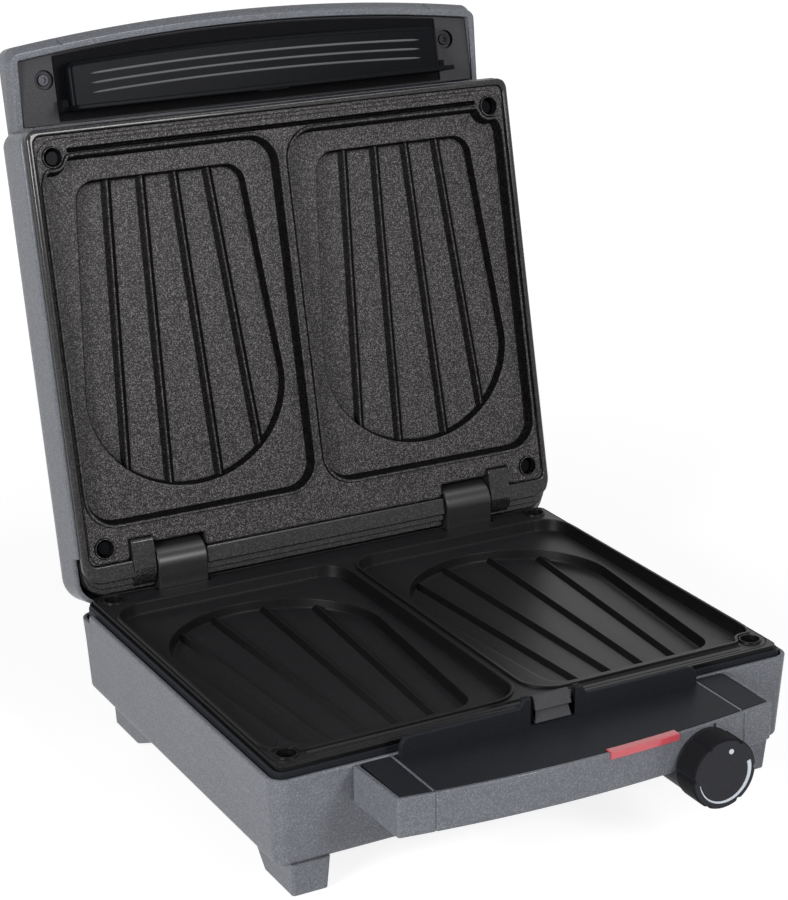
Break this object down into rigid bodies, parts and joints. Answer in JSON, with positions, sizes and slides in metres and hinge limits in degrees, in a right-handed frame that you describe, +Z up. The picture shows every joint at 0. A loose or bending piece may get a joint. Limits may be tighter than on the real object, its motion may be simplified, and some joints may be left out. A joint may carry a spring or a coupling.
{
  "type": "sandwich maker",
  "caption": "Table-top sandwich press, lid open, with scalloped toasting pockets in hinged grey housings, a bowed front handle, rotary thermostat knob and latch lever.",
  "frame": {"origin": "centre of the open appliance's bounding box in plan, at the underside of the feet", "axes": "+X to the appliance's right as a user faces its front, +Y from the front handle to the hinge at the back, +Z up from the table"},
  "size_m": [0.29, 0.3948, 0.3532],
  "materials": {
    "shell_grey": "anthracite grey with a metallic flake",
    "black_plastic": "black, fine satin",
    "satin_black": "dark satin grey-black",
    "non_stick": "die-cast, with a dark non-stick coating",
    "steel": "plain steel",
    "sheet": "bright reflector sheet",
    "rubber": "black, matt",
    "red_plastic": "coral red, translucent look",
    "lamp_glass": "small orange lamp",
    "ceramic_white": "off-white, heat-proof"
  },
  "bodies": {
    "base": {"base_shell": "shell_grey", "bottom_cover": "black_plastic", "cover_screw_1": "steel", "cover_screw_2": "steel", "cover_screw_3": "steel", "cover_screw_4": "steel", "foot_front_left": "shell_grey", "foot_front_right": "shell_grey", "foot_rear_left": "shell_grey", "foot_rear_right": "shell_grey", "foot_pad_front_left": "rubber", "foot_pad_front_right": "rubber", "foot_pad_rear_left": "rubber", "foot_pad_rear_right": "rubber", "base_frame": "black_plastic", "lower_plate": "non_stick", "lower_plate_screw_1": "steel", "lower_plate_screw_2": "steel", "lower_plate_screw_3": "steel", "lower_plate_screw_4": "steel", "lower_heating_element": "steel", "lower_reflector": "sheet", "hinge_knuckle_left": "black_plastic", "hinge_knuckle_right": "black_plastic", "hinge_pin_left": "steel", "hinge_pin_right": "steel", "base_handle_shell": "shell_grey", "handle_cover": "black_plastic", "handle_end_left": "black_plastic", "handle_end_right": "black_plastic", "latch_catch": "satin_black", "indicator_bar": "red_plastic", "indicator_lamp": "lamp_glass", "thermostat_housing": "black_plastic", "thermostat": "ceramic_white", "cable_gland": "rubber", "terminal_block": "ceramic_white"},
    "knob": {"thermostat_knob": "satin_black", "thermostat_shaft": "steel"},
    "lid": {"lid_shell": "shell_grey", "lid_frame": "black_plastic", "upper_plate": "non_stick", "upper_plate_screw_1": "steel", "upper_plate_screw_2": "steel", "upper_plate_screw_3": "steel", "upper_plate_screw_4": "steel", "upper_heating_element": "steel", "upper_reflector": "sheet", "grip_panel": "satin_black", "grip_screw_left": "steel", "grip_screw_right": "steel", "latch_pin_left": "steel", "latch_pin_right": "steel"},
    "latch": {"latch_lever": "satin_black", "latch_spring": "steel"}
  },
  "joints": [
    {"name": "lid_hinge", "type": "hinge", "parent": "base", "child": "lid", "pos_m": [0, 0.10031, 0.0794], "axis": [1, 0, 0], "range_deg": [0, 103]},
    {"name": "knob_turn", "type": "hinge", "parent": "base", "child": "knob", "pos_m": [0.0595, -0.17489, 0.0452], "axis": [0, 1, 0], "range_deg": [0, 300]},
    {"name": "latch_pivot", "type": "hinge", "parent": "lid", "child": "latch", "pos_m": [0, 0.16626, 0.31561], "axis": [-1, 0, 0], "range_deg": [0, 8], "stiffness_Nm_per_rad": 0.3, "springref_deg": -10}
  ]
}
